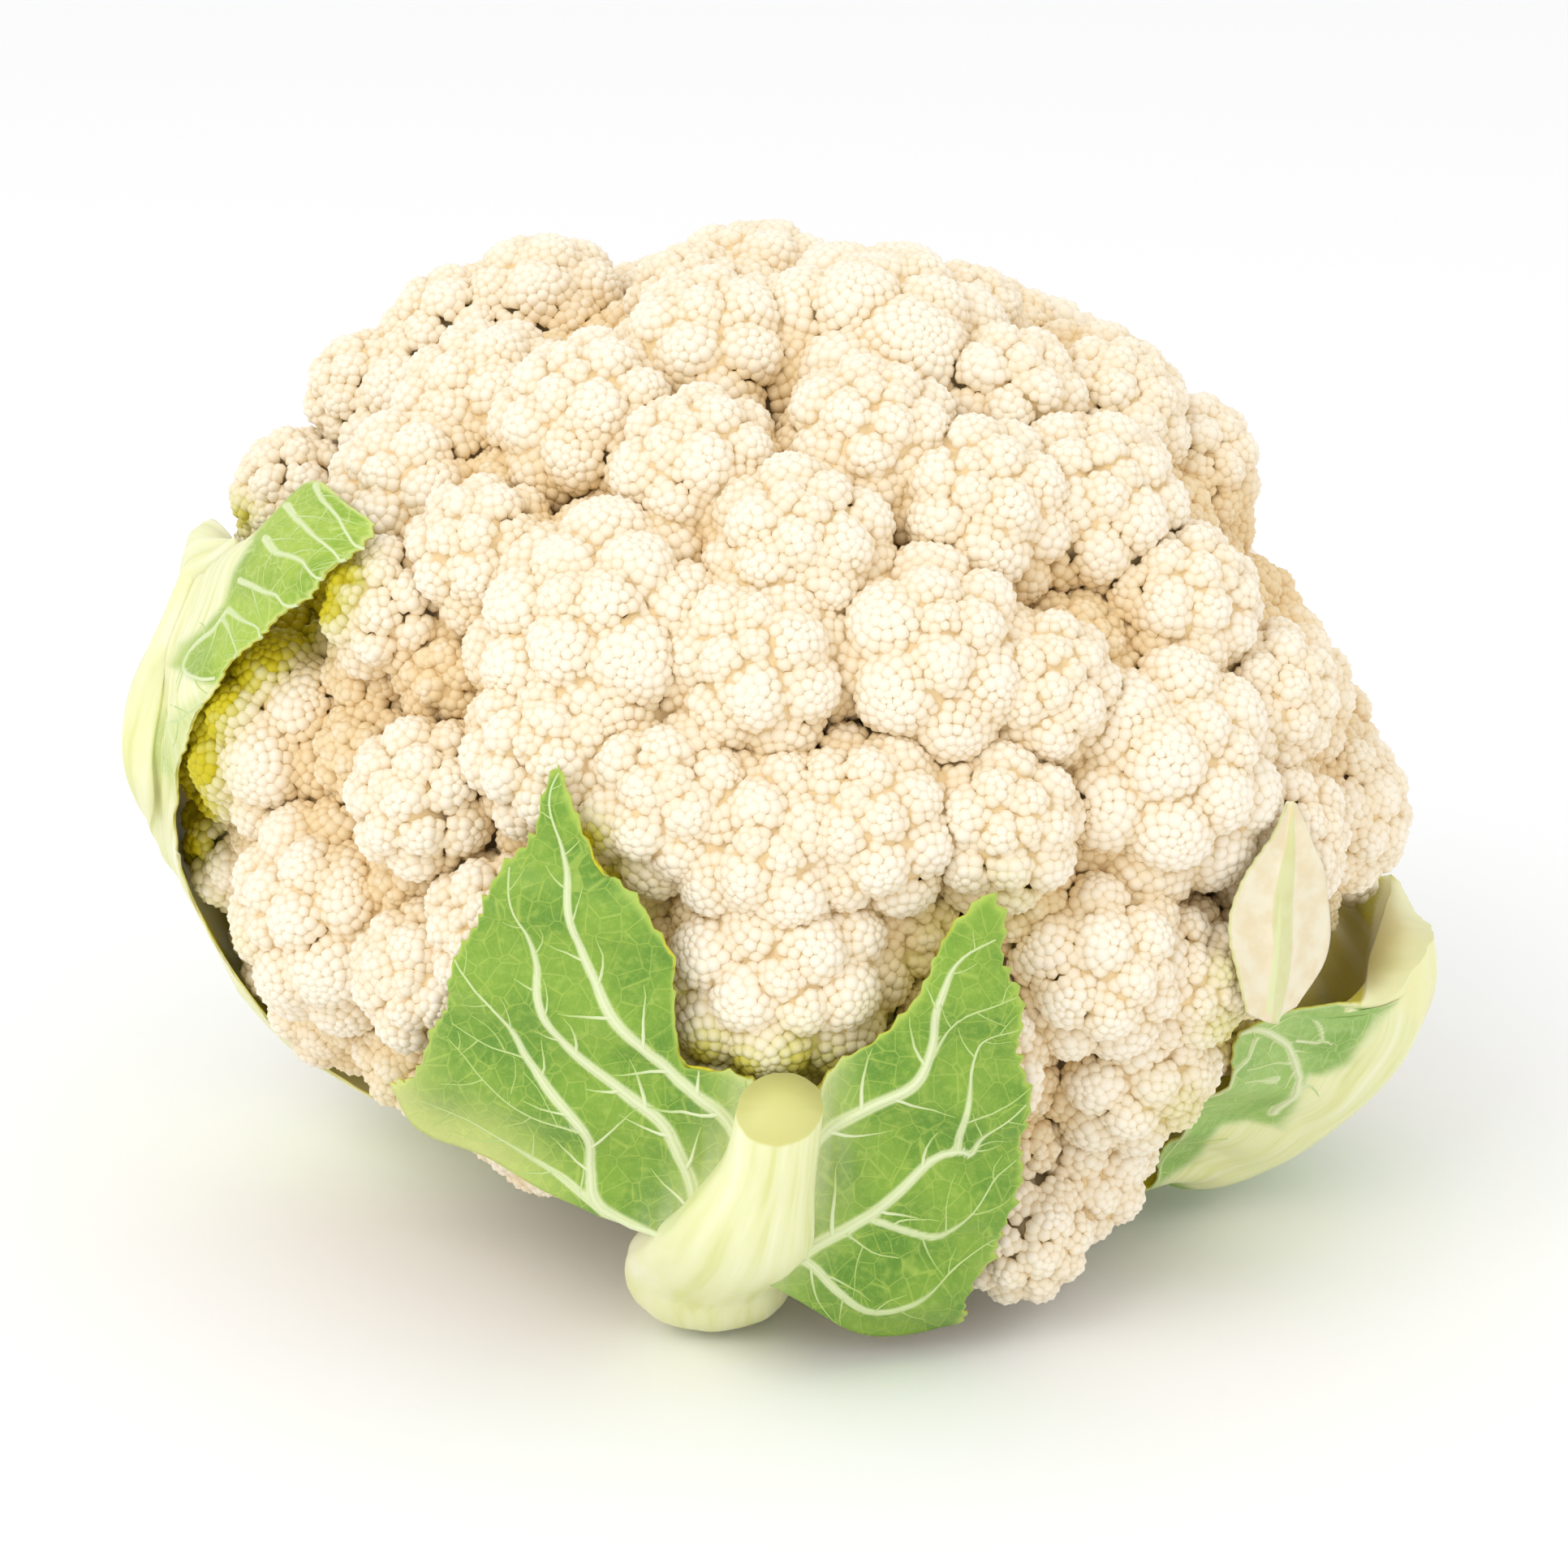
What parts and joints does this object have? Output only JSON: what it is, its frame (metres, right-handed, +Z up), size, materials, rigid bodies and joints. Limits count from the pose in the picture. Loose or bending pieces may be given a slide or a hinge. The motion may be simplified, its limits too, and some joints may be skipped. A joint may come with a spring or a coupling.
{
  "type": "cauliflower",
  "caption": "Whole trimmed cauliflower: a cream curd of clustered florets on its stalk, with cut and torn green leaves round it, standing on its butt.",
  "frame": {"origin": "on the surface it stands on, below the middle of the whole head's box", "axes": "+Z up through the head, -Y towards the torn front leaf, +X towards the leaf that is cut slantwise"},
  "size_m": [0.195, 0.1847, 0.1456],
  "materials": {
    "curd": "cream, finely beaded, slightly waxy",
    "stalk": "pale yellow-green, waxy, cut flat at the butt",
    "leaf": "green blade with pale veins and pale ribs, satin",
    "inner_leaf": "cream with a pale green middle, satin"
  },
  "bodies": {
    "root": {"curd": "curd", "stalk": "stalk", "leaf_front": "leaf", "leaf_left": "leaf", "leaf_right": "leaf", "leaf_back_left": "leaf", "leaf_back_right": "leaf", "leaf_inner": "inner_leaf"}
  },
  "joints": []
}
